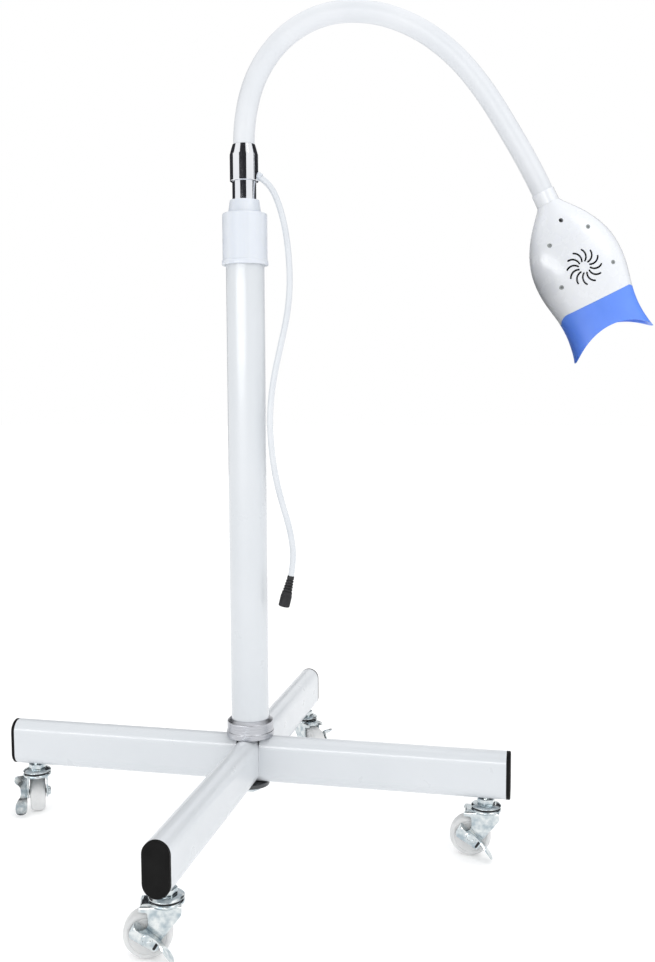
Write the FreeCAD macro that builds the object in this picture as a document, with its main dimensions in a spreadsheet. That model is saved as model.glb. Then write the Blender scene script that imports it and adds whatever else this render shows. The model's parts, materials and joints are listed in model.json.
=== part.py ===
import FreeCAD, Part
import math
import os
from types import SimpleNamespace

import Sketcher

# Mobile curing lamp: a bendable neck on a height-adjustable column, on a cross base with four braked castors.
# Millimetres. The origin is on the floor under the column, +Z is up, and +X and +Y run along the base's arms.

DIMENSIONS = {
    # name: (millimetres or degrees, what it measures)
    "tube_width": (25, "oval base tube, side to side"),
    "tube_height": (50, "oval base tube, bottom to top"),
    "tube_wall": (1.5, "wall of every steel tube"),
    "tube_reach": (272.5, "column axis to the cut end of a base tube"),
    "tube_under": (60, "floor to the underside of the base tubes"),
    "plate_thickness": (4, "clamping plate under the crossing of the tubes"),
    "bolt_radius": (5, "centre bolt and castor stems"),
    "cap_depth": (4, "visible thickness of a tube end cap"),
    "column_radius": (20, "column tube, outside"),
    "column_end": (650, "floor to the top of the column tube"),
    "pole_radius": (12.5, "sliding inner pole, outside"),
    "pole_foot": (150, "floor to the pole's lower end, pushed in"),
    "pole_end": (692.9, "floor to the pole's upper end, pushed in"),
    "collar_radius": (25.25, "foot collar, flange"),
    "sleeve_radius": (23.25, "lock sleeve, outside"),
    "sleeve_foot": (608, "floor to the lock sleeve's rim"),
    "sleeve_end": (660.5, "floor to the lock sleeve's top"),
    "bush_end": (674, "floor to the tip of the column bush"),
    "socket_radius": (14.8, "neck socket, outside"),
    "socket_end": (730, "floor to the mouth of the neck socket"),
    "socket_spigot": (32, "length of the socket inside the pole"),
    "neck_grip": (14, "depth of the neck in its socket"),
    "neck_radius": (11, "bendable neck, outside"),
    "neck_pitch": (48, "between two bending hinges of the neck"),
    "neck_gap": (4.2, "hinge centre to the end face of a neck link"),
    "ball_radius": (8.5, "ball between two neck links"),
    "arm_azimuth": (12.4, "neck plane, turned from +X towards +Y"),
    "head_half_width": (47, "lamp head, widest half width"),
    "head_half_depth": (23.6, "lamp head, deepest half depth"),
    "head_wall": (2.2, "wall of the head's shells and of the light guard"),
    "shell_start": (13, "neck end of the head to its shells"),
    "shell_end": (124.2, "neck end of the head to the light guard, on its flat faces"),
    "seam_crest": (132, "neck end of the head to the light guard, on its sides"),
    "seam_bend": (15, "middle plane of the head to the bend of the guard's seam"),
    "window_place": (122.5, "neck end of the head to its window"),
    "guard_end": (176, "neck end of the head to the light guard's cut end"),
    "mouth_radius": (57.6, "concave mouth of the light guard"),
    "mouth_depth": (153, "neck end of the head to the deepest point of the mouth"),
    "vent_along": (88, "neck end of the head to the centre of the fan vent"),
    "cord_radius": (3.15, "power cord, outside"),
    "castor_inset": (252, "column axis to a castor's swivel axis"),
    "castor_trail": (16, "swivel axis to the axle"),
    "wheel_radius": (21, "castor wheel"),
    "wheel_half_width": (8.75, "castor wheel, half its width"),
    "axle_radius": (3, "castor axle bolt"),
    "crown_radius": (15.5, "castor raceway and fork crown"),
    "crown_drop": (10, "underside of the base tubes to the top of a fork"),
    "fork_sheet": (1.8, "sheet of a castor fork"),
    "wheel_play": (0.85, "gap between a wheel and a leg of its fork"),
    "brake_sheet": (1.2, "sheet of a brake lever"),
    "brake_play": (0.4, "gap between a fork and its brake lever"),
    "running": (0.06, "radial clearance of a shaft that turns or slides in a hole"),
    "gap": (0.3, "gap between pieces that only pass each other"),
}

# The neck's hinges from the socket to the head. A bend turns the neck in its own plane by so many degrees
# at rest, and a side hinge, halfway between two bends, swings what follows out of that plane.
NECK_HINGES = (
    ("bend", 14.6),
    ("side", 0),
    ("bend", 21.9),
    ("bend", 25.1),
    ("bend", 26.2),
    ("bend", 20.3),
    ("bend", 17.2),
    ("bend", 14.1),
    ("bend", 8),
    ("bend", 1.9),
    ("side", 0),
    ("bend", 4.7),
)

# Sections of the head's skin: distance from the neck end, half width, half depth (as shares of the largest),
# and squareness, where 2 is an ellipse and more is squarer.
HEAD_SECTIONS = (
    (13, 0.255, 0.508, 2.0),
    (22, 0.405, 0.62, 2.1),
    (33, 0.595, 0.746, 2.3),
    (47, 0.783, 0.856, 2.5),
    (64, 0.934, 0.949, 2.6),
    (86, 1.0, 1.0, 2.7),
    (107, 0.966, 0.983, 2.7),
    (127, 0.885, 0.924, 2.7),
    (148, 0.855, 0.886, 2.7),
    (163, 0.89, 0.894, 2.7),
    (176, 0.965, 0.924, 2.7),
)

# Head screws: distance along the head, distance to one side, depth of the screw's head below the middle plane.
HEAD_SCREWS = (
    (35, 0, 12.5),
    (53, -21.6, 18.6),
    (53, 21.6, 18.6),
    (96.5, -29, 20.3),
    (96.5, 29, 20.3),
)

# The power cord's route where the head of the stand faces its user: distance from the column axis to the right,
# distance forward of the axis, height.
CORD_ROUTE = (
    (9.4, 0.0, 701.6),
    (20.0, 0.6, 695.5),
    (29.2, 2.4, 685.0),
    (36.0, 5.0, 668.5),
    (41.3, 8.2, 648.5),
    (44.8, 11.2, 625.5),
    (46.6, 13.8, 600.5),
    (46.2, 16.0, 575.0),
    (42.6, 17.4, 549.5),
    (36.4, 18.2, 523.0),
    (30.2, 18.4, 496.0),
    (26.0, 18.2, 468.5),
    (24.8, 17.8, 441.5),
    (26.6, 17.0, 414.0),
    (30.4, 15.8, 387.5),
    (36.2, 14.4, 363.0),
    (43.0, 12.8, 340.0),
    (47.4, 11.4, 317.5),
    (47.8, 10.2, 299.0),
    (45.4, 9.4, 284.0),
)
JACK_DIRECTION = (-7.4, -0.5, -30.5)

# Castors: name, place on the base's arms, azimuth of the trail, angle of the brake lever from the trail.
CASTORS = (
    ("right", (1, 0), 185, 213),
    ("front", (0, -1), 197, 213),
    ("back", (0, 1), -42, 213),
    ("left", (-1, 0), 118, 213),
)

vector = FreeCAD.Vector
UP = vector(0, 0, 1)
doc = FreeCAD.newDocument("curing_lamp")


# ---------------------------------------------------------------- sizes from the sheet


class Size:
    """A length that follows the sheet: the expression that FreeCAD keeps, and its value now."""

    def __init__(self, text, value):
        self.text = text
        self.value = value

    def __add__(self, other):
        other = size_of(other)
        return Size(f"({self.text} + {other.text})", self.value + other.value)

    def __radd__(self, other):
        return size_of(other) + self

    def __sub__(self, other):
        other = size_of(other)
        return Size(f"({self.text} - {other.text})", self.value - other.value)

    def __rsub__(self, other):
        return size_of(other) - self

    def __mul__(self, factor):
        return Size(f"({self.text} * {factor})", self.value * factor)

    __rmul__ = __mul__

    def __truediv__(self, divisor):
        return Size(f"({self.text} / {divisor})", self.value / divisor)

    def __neg__(self):
        return Size(f"(0 - {self.text})", -self.value)


def size_of(amount):
    """A plain number as a Size; a Size stays as it is."""
    return amount if isinstance(amount, Size) else Size(f"({amount})", float(amount))


def fill_sheet():
    """Writes the driving dimensions to the document's sheet and returns them by name."""
    sheet = doc.addObject("Spreadsheet::Sheet", "dims")
    for row, (name, (amount, meaning)) in enumerate(DIMENSIONS.items(), start=1):
        sheet.set(f"A{row}", meaning)
        sheet.set(f"B{row}", str(amount))
        sheet.setAlias(f"B{row}", name)
    doc.recompute()
    return SimpleNamespace(**{n: Size(f"dims.{n}", float(sheet.get(n))) for n in DIMENSIONS})


s = fill_sheet()
TUBE_MIDDLE = s.tube_under + s.tube_height / 2
TUBE_TOP = s.tube_under + s.tube_height
SEAT = 0.05


# ---------------------------------------------------------------- shapes bound to the sheet


def bind(thing, prop, amount):
    """Drives one property of a document object from the sheet."""
    thing.setExpression(prop, size_of(amount).text)


def move_to(thing, x=0, y=0, z=0):
    """Puts a document object at a place that follows the sheet."""
    bind(thing, "Placement.Base.x", x)
    bind(thing, "Placement.Base.y", y)
    bind(thing, "Placement.Base.z", z)
    return thing


def cylinder(name, radius, low, high, x=0, y=0, z=0, along=UP):
    """A cylinder from low to high, measured along its axis from the point x, y, z."""
    thing = doc.addObject("Part::Cylinder", name)
    thing.Placement = FreeCAD.Placement(vector(), FreeCAD.Rotation(UP, vector(along)))
    bind(thing, "Radius", radius)
    bind(thing, "Height", size_of(high) - low)
    start = [size_of(low) * component for component in along]
    return move_to(thing, start[0] + x, start[1] + y, start[2] + z)


def sphere(name, radius, x=0, y=0, z=0):
    thing = doc.addObject("Part::Sphere", name)
    bind(thing, "Radius", radius)
    return move_to(thing, x, y, z)


def box(name, x, y, z):
    """A box between the pairs of limits x, y and z."""
    thing = doc.addObject("Part::Box", name)
    for prop, (low, high) in (("Length", x), ("Width", y), ("Height", z)):
        bind(thing, prop, size_of(high) - low)
    return move_to(thing, x[0], y[0], z[0])


def hexagon(name, radius, low, high):
    """An upright hexagonal bar, such as a bolt's head."""
    thing = doc.addObject("Part::Prism", name)
    thing.Polygon = 6
    bind(thing, "Circumradius", radius)
    bind(thing, "Height", size_of(high) - low)
    return move_to(thing, 0, 0, low)


def fuse(name, *things):
    thing = doc.addObject("Part::MultiFuse", name)
    thing.Shapes = list(things)
    return thing


def cut(name, base, *tools):
    thing = doc.addObject("Part::Cut", name)
    thing.Base = base
    thing.Tool = tools[0] if len(tools) == 1 else fuse(name + "_tools", *tools)
    return thing


def group(name, *things):
    """Separate solids that make one node."""
    thing = doc.addObject("Part::Compound", name)
    thing.Links = list(things)
    return thing


def dimension(sketch, kind, corner, amount):
    """Fixes one coordinate of a sketch corner, counted from the origin, and ties it to the sheet."""
    if amount.value == 0:
        axis = -2 if kind == "DistanceX" else -1
        sketch.addConstraint(Sketcher.Constraint("PointOnObject", corner, 1, axis))
        return
    ends = (-1, 1, corner, 1) if amount.value > 0 else (corner, 1, -1, 1)
    amount = amount if amount.value > 0 else -amount
    index = sketch.addConstraint(Sketcher.Constraint(kind, *ends, amount.value))
    sketch.setExpression(f"Constraints[{index}]", amount.text)


def outline(body, corners):
    """A closed sketch with straight sides on the body's XZ plane, each corner dimensioned from the origin."""
    sketch = body.newObject("Sketcher::SketchObject", body.Name + "_outline")
    plane = next(feature for feature in body.Origin.OriginFeatures if feature.Role == "XZ_Plane")
    sketch.AttachmentSupport = (plane, "")
    sketch.MapMode = "FlatFace"
    corners = [(size_of(a), size_of(b)) for a, b in corners]
    points = [vector(a.value, b.value, 0) for a, b in corners]
    for start, end in zip(points, points[1:] + points[:1]):
        sketch.addGeometry(Part.LineSegment(start, end))
    for side in range(len(points)):
        sketch.addConstraint(Sketcher.Constraint("Coincident", side, 2, (side + 1) % len(points), 1))
    for corner, (a, b) in enumerate(corners):
        dimension(sketch, "DistanceX", corner, a)
        dimension(sketch, "DistanceY", corner, b)
    return sketch


def turned(name, *corners):
    """A turned piece: the outline of (radius, height) corners, revolved about Z."""
    body = doc.addObject("PartDesign::Body", name)
    sketch = outline(body, corners)
    revolution = body.newObject("PartDesign::Revolution", name + "_turn")
    revolution.Profile = sketch
    revolution.ReferenceAxis = (sketch, ["V_Axis"])
    revolution.Angle = 360
    return body


def ring(name, inner, outer, low, high):
    """A plain turned ring."""
    return turned(name, (inner, low), (outer, low), (outer, high), (inner, high))


def plate(name, thickness, *corners):
    """A plate cut to an outline of (x, z) corners, with half its thickness on each side of the XZ plane."""
    body = doc.addObject("PartDesign::Body", name)
    sketch = outline(body, corners)
    pad = body.newObject("PartDesign::Pad", name + "_pad")
    pad.Profile = sketch
    pad.SideType = "Symmetric"
    bind(pad, "Length", thickness)
    return body


def solid(name, shape):
    """A shape made with Part's own functions, as an object of the document."""
    thing = doc.addObject("Part::Feature", name)
    thing.Shape = shape
    return thing


# ---------------------------------------------------------------- nodes and places

nodes = []


def node(label, thing, place=None):
    """Takes a finished piece as a node of the part."""
    thing.Label = label
    if place is not None:
        thing.Placement = place
    nodes.append(thing)


def turn(axis, angle):
    return FreeCAD.Placement(vector(), FreeCAD.Rotation(vector(axis), angle))


def shift(x, y, z):
    return FreeCAD.Placement(vector(x, y, z), FreeCAD.Rotation())


ARM_PLANE = turn(UP, s.arm_azimuth.value)
CORD_SIDE = vector(math.cos(math.radians(s.arm_azimuth.value)), math.sin(math.radians(s.arm_azimuth.value)), 0)
CORD_FRONT = vector(CORD_SIDE.y, -CORD_SIDE.x, 0)


def neck_places():
    """The place of each hinge of the neck and of the head: origin on the hinge, +Z along the neck."""
    place = ARM_PLANE * shift(0, 0, s.socket_end.value)
    half = s.neck_pitch.value / 2
    before_side = {i - 1 for i, (kind, _) in enumerate(NECK_HINGES) if kind == "side"}
    places = []
    run = half
    for i, (kind, bend) in enumerate(NECK_HINGES):
        place = place * shift(0, 0, run)
        if kind == "bend":
            place = place * turn((0, 1, 0), bend)
        places.append((place, run))
        run = half if i in before_side or kind == "side" else 2 * half
    return places, place * shift(0, 0, half)


NECK_PLACES, HEAD = neck_places()


# ---------------------------------------------------------------- base


def oval_bar(name, width, height, start, end):
    """A bar along X with flat sides and round top and bottom edges, centred on the X axis."""
    radius = width / 2
    core = height / 2 - radius
    return fuse(
        name,
        box(name + "_flat", (start, end), (-radius, radius), (-core, core)),
        cylinder(name + "_upper", radius, start, end, z=core, along=(1, 0, 0)),
        cylinder(name + "_lower", radius, start, end, z=-core, along=(1, 0, 0)),
    )


def base_tube(name, notch_above):
    """An oval tube along X, half cut away where the other tube crosses it, with bolt and castor holes."""
    outer = oval_bar(name + "_outer", s.tube_width, s.tube_height, -s.tube_reach, s.tube_reach)
    inner = oval_bar(
        name + "_inner",
        s.tube_width - 2 * s.tube_wall,
        s.tube_height - 2 * s.tube_wall,
        -s.tube_reach - 1,
        s.tube_reach + 1,
    )
    half_notch = s.tube_width / 2 + 0.1
    half_height = s.tube_height / 2 + 1
    notch_z = (size_of(0), half_height) if notch_above else (-half_height, size_of(0))
    notch = box(name + "_notch", (-half_notch, half_notch), (-20, 20), notch_z)
    bolt_hole = cylinder(name + "_bolt_hole", s.bolt_radius + 0.3, -half_height, half_height)
    stem_holes = [
        cylinder(f"{name}_stem_hole_{side}", s.bolt_radius + 0.2, -half_height, 0, x=s.castor_inset * side)
        for side in (-1, 1)
    ]
    return move_to(cut(name, outer, inner, notch, bolt_hole, *stem_holes), 0, 0, TUBE_MIDDLE)


def end_cap(name):
    """A moulded plug for a tube end: an oval face with a chamfered edge, and a shorter oval spigot."""
    face = oval_bar(name + "_face", s.tube_width, s.tube_height, s.tube_reach, s.tube_reach + s.cap_depth)
    doc.recompute()
    front = s.tube_reach.value + s.cap_depth.value
    rim = [
        (index, 0.8, 0.8)
        for index, edge in enumerate(face.Shape.Edges, start=1)
        if all(abs(corner.X - front) < 0.01 for corner in edge.Vertexes)
        and edge_is_outside(edge, s.tube_width.value, s.tube_height.value)
    ]
    bevelled = doc.addObject("Part::Chamfer", name + "_bevel")
    bevelled.Base = face
    bevelled.Edges = rim
    fit = 2 * s.tube_wall + 0.2
    spigot = oval_bar(name + "_spigot", s.tube_width - fit, s.tube_height - fit, s.tube_reach - 9, s.tube_reach)
    return fuse(name, bevelled, spigot)


def edge_is_outside(edge, width, height):
    """True for an edge on the oval's rim, and false for a seam inside its end face."""
    middle = edge.valueAt((edge.FirstParameter + edge.LastParameter) / 2)
    radius = width / 2
    core = height / 2 - radius
    reach = max(abs(middle.z) - core, 0)
    return abs(math.hypot(middle.y, reach) - radius) < 0.01


def make_base():
    node("base_tube_x", base_tube("base_tube_x", notch_above=True))
    crossing = base_tube("base_tube_y", notch_above=False)
    crossing.Placement = turn(UP, 90)
    node("base_tube_y", move_to(crossing, 0, 0, TUBE_MIDDLE))

    caps = []
    for quarter in range(4):
        cap = end_cap(f"cap_{quarter}")
        cap.Placement = turn(UP, 90 * quarter)
        caps.append(move_to(cap, 0, 0, TUBE_MIDDLE))
    node("tube_end_caps", group("tube_end_caps", *caps))

    plate_foot = s.tube_under - s.plate_thickness
    node("base_plate", ring("base_plate", s.bolt_radius + 0.3, 20, plate_foot, s.tube_under - SEAT))
    bolt_head = hexagon("bolt_head", 9.8, plate_foot - 6.4, plate_foot - SEAT)
    bolt_shank = cylinder("bolt_shank", s.bolt_radius, plate_foot - 2, TUBE_TOP + 18)
    node("center_bolt", fuse("center_bolt", bolt_head, bolt_shank))

    column_bore = s.column_radius - s.tube_wall
    plug = ring("column_foot_plug", s.bolt_radius + SEAT, column_bore - SEAT, TUBE_TOP + SEAT, TUBE_TOP + 25)
    node("column_foot_plug", plug)
    node("column_tube", ring("column_tube", column_bore, s.column_radius, TUBE_TOP + SEAT, s.column_end))
    shoulder = s.collar_radius - 0.7
    collar_bore = s.column_radius + SEAT
    collar = turned(
        "foot_collar",
        (collar_bore, TUBE_TOP + SEAT),
        (s.collar_radius, TUBE_TOP + SEAT),
        (s.collar_radius, TUBE_TOP + 5.6),
        (shoulder, TUBE_TOP + 6.4),
        (shoulder, TUBE_TOP + 16.5),
        (collar_bore + 0.6, TUBE_TOP + 19.5),
        (collar_bore, TUBE_TOP + 19.5),
    )
    node("foot_collar", collar)


def make_lock():
    """The collet bush in the column's mouth and the sleeve that closes it on the pole."""
    bore = s.pole_radius + s.running
    bush = turned(
        "column_bush",
        (bore, s.column_end - 48),
        (s.column_radius - s.tube_wall - SEAT, s.column_end - 48),
        (s.column_radius - s.tube_wall - SEAT, s.column_end + SEAT),
        (s.column_radius, s.column_end + SEAT),
        (s.column_radius, s.column_end + 4),
        (s.column_radius - 1.7, s.column_end + 4),
        (s.column_radius - 2.8, s.sleeve_end),
        (bore + 2.6, s.bush_end),
        (bore + 0.6, s.bush_end),
        (bore, s.bush_end - 0.6),
    )
    node("column_bush", bush)
    inside = s.column_radius + s.gap + 0.05
    lip = s.column_end + 4.4
    sleeve = turned(
        "lock_sleeve",
        (inside, s.sleeve_foot),
        (s.sleeve_radius + 0.5, s.sleeve_foot),
        (s.sleeve_radius + 0.85, s.sleeve_foot + 0.5),
        (s.sleeve_radius + 0.85, s.sleeve_foot + 4.6),
        (s.sleeve_radius, s.sleeve_foot + 5.2),
        (s.sleeve_radius, s.sleeve_end - 1),
        (s.sleeve_radius - 0.9, s.sleeve_end),
        (s.column_radius - 2.4, s.sleeve_end),
        (s.column_radius - 1.25, lip),
        (inside, lip),
    )
    node("lock_sleeve", sleeve)


def make_pole():
    node("inner_pole", ring("inner_pole", s.pole_radius - s.tube_wall, s.pole_radius, s.pole_foot, s.pole_end))
    guide_radius = s.column_radius - s.tube_wall - 0.08
    guide = ring("pole_foot_guide", s.pole_radius + 0.02, guide_radius, s.pole_foot, s.pole_foot + 25)
    node("pole_foot_guide", guide)


# ---------------------------------------------------------------- neck


def make_socket():
    """The socket that turns on the pole and holds the neck, with its set screw and the cord's exit."""
    spigot = s.pole_radius - s.tube_wall - 0.05
    socket_foot = s.pole_end + s.gap
    wire_way = 8
    body = turned(
        "socket_body",
        (wire_way, socket_foot - s.socket_spigot),
        (spigot, socket_foot - s.socket_spigot),
        (spigot, socket_foot),
        (s.socket_radius - 0.4, socket_foot),
        (s.socket_radius, socket_foot + 0.4),
        (s.socket_radius, s.socket_end - 10),
        (s.neck_radius + 0.9, s.socket_end),
        (s.neck_radius + SEAT, s.socket_end),
        (s.neck_radius + SEAT, s.socket_end - s.neck_grip),
        (wire_way, s.socket_end - s.neck_grip),
    )
    first, second = cord_points()[:2]
    leaving = (second - first).normalize()
    cord_hole = cylinder("cord_hole", s.cord_radius + 0.1, -4, 10, *first, along=leaving)
    back = turn(UP, s.arm_azimuth.value + 180).multVec(vector(1, 0, 0))
    screw_hole = cylinder("screw_hole", 2.05, 9, 16, z=s.socket_end - 5, along=back)
    node("neck_socket", cut("neck_socket", body, cord_hole, screw_hole))
    screw = cylinder("socket_screw_body", 2, s.neck_radius + 0.02, 13.2, z=s.socket_end - 5, along=back)
    node("socket_screw", group("socket_screw", screw))

    grommet = cut(
        "grommet_body",
        cylinder("grommet_outer", s.cord_radius + 1.1, 0, 9, *first, along=leaving),
        cylinder("grommet_bore", s.cord_radius + 0.02, -1, 12, *first, along=leaving),
        cylinder("grommet_seat", s.socket_radius + 0.02, 600, 800),
    )
    node("cord_grommet", group("cord_grommet", grommet))


def neck_link(name, place, start, end, cup, ball):
    """A rigid link of the neck: a cup that turns on the ball of the link before, and a ball for the next."""
    thing = cylinder(name + "_core", s.neck_radius, start, end)
    if ball:
        thing = fuse(name + "_balled", thing, sphere(name + "_ball", s.ball_radius, z=end + s.neck_gap))
    if cup:
        thing = cut(name + "_cupped", thing, sphere(name + "_cup", s.ball_radius + s.gap))
    node(name, group(name, thing), place)


def make_neck():
    socket_floor = s.socket_end - s.neck_grip + 0.2
    first_hinge = s.neck_pitch / 2
    start = ARM_PLANE * shift(0, 0, s.socket_end.value)
    tail = socket_floor - s.socket_end
    neck_link("neck_link_01", start, tail, first_hinge - s.neck_gap, cup=False, ball=True)
    for index, (place, _) in enumerate(NECK_PLACES, start=2):
        last = index == len(NECK_PLACES) + 1
        reach = s.neck_pitch / 2 + 11 if last else size_of(NECK_PLACES[index - 1][1]) - s.neck_gap
        neck_link(f"neck_link_{index:02d}", place, s.neck_gap, reach, cup=True, ball=not last)


# ---------------------------------------------------------------- power cord


def cord_points():
    """The cord's route in the part's own frame."""
    return [CORD_SIDE * side + CORD_FRONT * front + UP * height for side, front, height in CORD_ROUTE]


def rounded_path(points):
    """Straight runs joined by tangent arcs, each as large as its two runs allow. Prints their radii."""
    edges = []
    start = points[0]
    radii = []
    for before, corner, after in zip(points, points[1:], points[2:]):
        back = before - corner
        ahead = after - corner
        trim = 0.45 * min(back.Length, ahead.Length)
        half_turn = (math.pi - back.getAngle(ahead)) / 2
        radius = trim / math.tan(half_turn)
        radii.append(radius)
        back.normalize()
        ahead.normalize()
        enter = corner + back * trim
        leave = corner + ahead * trim
        inward = (back + ahead).normalize()
        middle = corner + inward * (radius / math.cos(half_turn) - radius)
        edges.append(Part.LineSegment(start, enter).toShape())
        edges.append(Part.Arc(enter, middle, leave).toShape())
        start = leave
    edges.append(Part.LineSegment(start, points[-1]).toShape())
    print("cord radii, mm:", [round(radius) for radius in radii])
    return Part.Wire(edges)


def make_cord():
    points = cord_points()
    path = rounded_path(points)
    radius = s.cord_radius.value
    section = Part.Wire(Part.makeCircle(radius, points[0], points[1] - points[0]))
    tube = path.makePipeShell([section], True, False)
    print(f"cord length {path.Length:.1f} mm, volume ratio {tube.Volume / (math.pi * radius**2 * path.Length):.4f}")
    node("power_cord", solid("power_cord", tube))

    jack = FreeCAD.Placement(points[-1], FreeCAD.Rotation(UP, vector(*along_cord_frame(JACK_DIRECTION))))
    housing = turned(
        "dc_jack_housing",
        (0, 0),
        (3.3, 0),
        (3.8, 2),
        (3.8, 8),
        (5.0, 9.5),
        (5.6, 21),
        (6.0, 22),
        (6.0, 33),
        (5.6, 33.6),
        (4.3, 33.6),
        (4.3, 22),
        (0, 22),
    )
    node("dc_jack_housing", housing, jack)
    contact = turned(
        "dc_jack_contact",
        (0, 22.05),
        (4.25, 22.05),
        (4.25, 33.2),
        (2.85, 33.2),
        (2.85, 24),
        (1.05, 24),
        (1.05, 32),
        (0, 32.4),
    )
    node("dc_jack_contact", contact, jack)


def along_cord_frame(direction):
    side, front, height = direction
    return CORD_SIDE * side + CORD_FRONT * front + UP * height


# ---------------------------------------------------------------- head: +Z towards the mouth, +Y to its panel


def section(along, half_width, half_depth, squareness, inset=0.0):
    """A closed, rounded section of the head, inset from its outer skin."""
    a = half_width * s.head_half_width.value - inset
    b = half_depth * s.head_half_depth.value - inset
    points = []
    for step in range(40):
        angle = 2 * math.pi * step / 40
        cosine = math.cos(angle)
        sine = math.sin(angle)
        x = a * math.copysign(abs(cosine) ** (2 / squareness), cosine)
        y = b * math.copysign(abs(sine) ** (2 / squareness), sine)
        points.append(vector(x, y, along))
    curve = Part.BSplineCurve()
    curve.interpolate(Points=points, PeriodicFlag=True)
    return Part.Wire(curve.toShape())


def skin(sections, inset=0.0):
    """The solid inside the head's skin, drawn in by the inset."""
    return Part.makeLoft([section(*each, inset=inset) for each in sections], True, False)


def block(x, y, z):
    """A box between the pairs of limits x, y and z, in the head's frame."""
    return Part.makeBox(x[1] - x[0], y[1] - y[0], z[1] - z[0], vector(x[0], y[0], z[0]))


def post(radius, low, high, side, along):
    """A cylinder along Y, from low to high, in the head's frame."""
    return Part.makeCylinder(radius, high - low, vector(side, low, along), vector(0, 1, 0))


def vent_slot(angle):
    """One curved slot of the fan vent: a rounded bar along an arc, pushed through the rear shell."""
    inner, outer, sweep, bulge, half_width = 6.2, 17.6, 14, 9, 0.95
    turns = (angle, angle + sweep / 2 - bulge, angle + sweep)
    reaches = (inner, (inner + outer) / 2, outer)
    ends = [
        vector(
            -reach * math.cos(math.radians(degrees)),
            -30,
            s.vent_along.value - reach * math.sin(math.radians(degrees)),
        )
        for reach, degrees in zip(reaches, turns)
    ]
    spine = Part.Wire(Part.Arc(*ends).toShape())
    return Part.Face(spine.makeOffset2D(half_width)).extrude(vector(0, 14, 0))


def head_walls():
    """The head's hollow skin in two lengths, the shells' and the guard's, and the solid inside the skin."""
    outer = skin(HEAD_SECTIONS)
    wall = outer.cut(skin(HEAD_SECTIONS, s.head_wall.value))
    flat = s.shell_end.value
    bend = s.seam_bend.value
    far = s.guard_end.value + 10
    seam = [(-40, flat), (-bend, flat), (0, s.seam_crest.value), (bend, flat), (40, flat), (40, far), (-40, far)]
    corners = [vector(-60, depth, along) for depth, along in seam]
    beyond = Part.Face(Part.makePolygon(corners + corners[:1])).extrude(vector(120, 0, 0))
    return wall.cut(beyond), wall.common(beyond), outer


def make_shells(wall, outer):
    """Two moulded shells that meet on the head's middle plane and hold everything inside."""
    ends = (s.shell_start.value - 1, s.seam_crest.value + 1)
    rear = wall.common(block((-60, 60), (-40, -0.02), ends))
    front = wall.common(block((-60, 60), (0.02, 40), ends))
    button_pad = block((-18, 18), (18.3, 26), (60, 107)).common(outer)
    front = front.fuse(button_pad)
    for along, side, depth in HEAD_SCREWS:
        seat = -depth + 1.65
        rear = rear.fuse(post(4, -30, seat + 1.6, side, along).common(outer))
        rear = rear.cut(post(2.25, -30, seat, side, along))
        rear = rear.cut(post(1.35, -30, seat + 3, side, along))
        front = front.fuse(post(3.6, seat + 1.8, 30, side, along).common(outer))
        front = front.cut(post(1.25, seat + 1, seat + 11.5, side, along))
    rear = rear.cut([vent_slot(30 * step) for step in range(12)])
    front = front.cut(block((-15.2, 15.2), (20.9, 30), (63.8, 104.2)))
    front = front.cut([post(4.3, 10, 30, 0, along) for along in BUTTONS.values()])
    node("rear_shell", solid("rear_shell", rear.removeSplitter()), HEAD)
    node("front_shell", solid("front_shell", front.removeSplitter()), HEAD)


BUTTONS = {"timer_button": 82, "power_button": 96}


def make_guard(wall):
    """The light guard: an open tube with a concave mouth, and the window at its root."""
    mouth_center = s.mouth_depth.value + s.mouth_radius.value
    guard = wall.cut(post(s.mouth_radius.value, -60, 60, 0, mouth_center))
    node("light_guard", solid("light_guard", guard), HEAD * shift(0, 0, 0.05))
    window = Part.Face(section(s.window_place.value, 0.885, 0.924, 2.7, s.head_wall.value + 0.15))
    node("lens_window", solid("lens_window", window.extrude(vector(0, 0, 2.5))), HEAD)


def make_light_engine():
    """The light's board, its emitters, the finned block that cools them, and the board that runs them."""
    board = box("led_board_body", (-32, 32), (-15, 15), (115.6, 117.2))
    node("led_board", group("led_board", board), HEAD)
    emitters = []
    for row in (-7.5, 7.5):
        for column in (-24, -8, 8, 24):
            name = f"led_{len(emitters) + 1}"
            base = cylinder(name + "_base", 4, 117.25, 118.8, x=column, y=row)
            dome = sphere(name + "_dome", 3, x=column, y=row, z=118.75)
            cap = box(name + "_front", (column - 4, column + 4), (row - 4, row + 4), (118, 123))
            lens = doc.addObject("Part::MultiCommon", name + "_lens")
            lens.Shapes = [dome, cap]
            emitters.append(fuse(name, base, lens))
    node("leds", group("leds", *emitters), HEAD)

    spreader = box("spreader", (-32, 32), (-15, 15), (111.6, 115.55))
    fins = [
        box(f"fin_{step}", (6.6 * step - 30.45, 6.6 * step - 28.95), (-7, 12), (101.6, 112)) for step in range(10)
    ]
    node("heat_sink", fuse("heat_sink", spreader, *fins), HEAD)

    circuit = box("circuit", (-18, 18), (12.6, 14.2), (48, 100))
    switches = [
        box(name + "_switch", (-2.5, 2.5), (14.1, 15.1), (along - 2.5, along + 2.5))
        for name, along in BUTTONS.items()
    ]
    node("control_board", fuse("control_board", circuit, *switches), HEAD)


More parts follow.
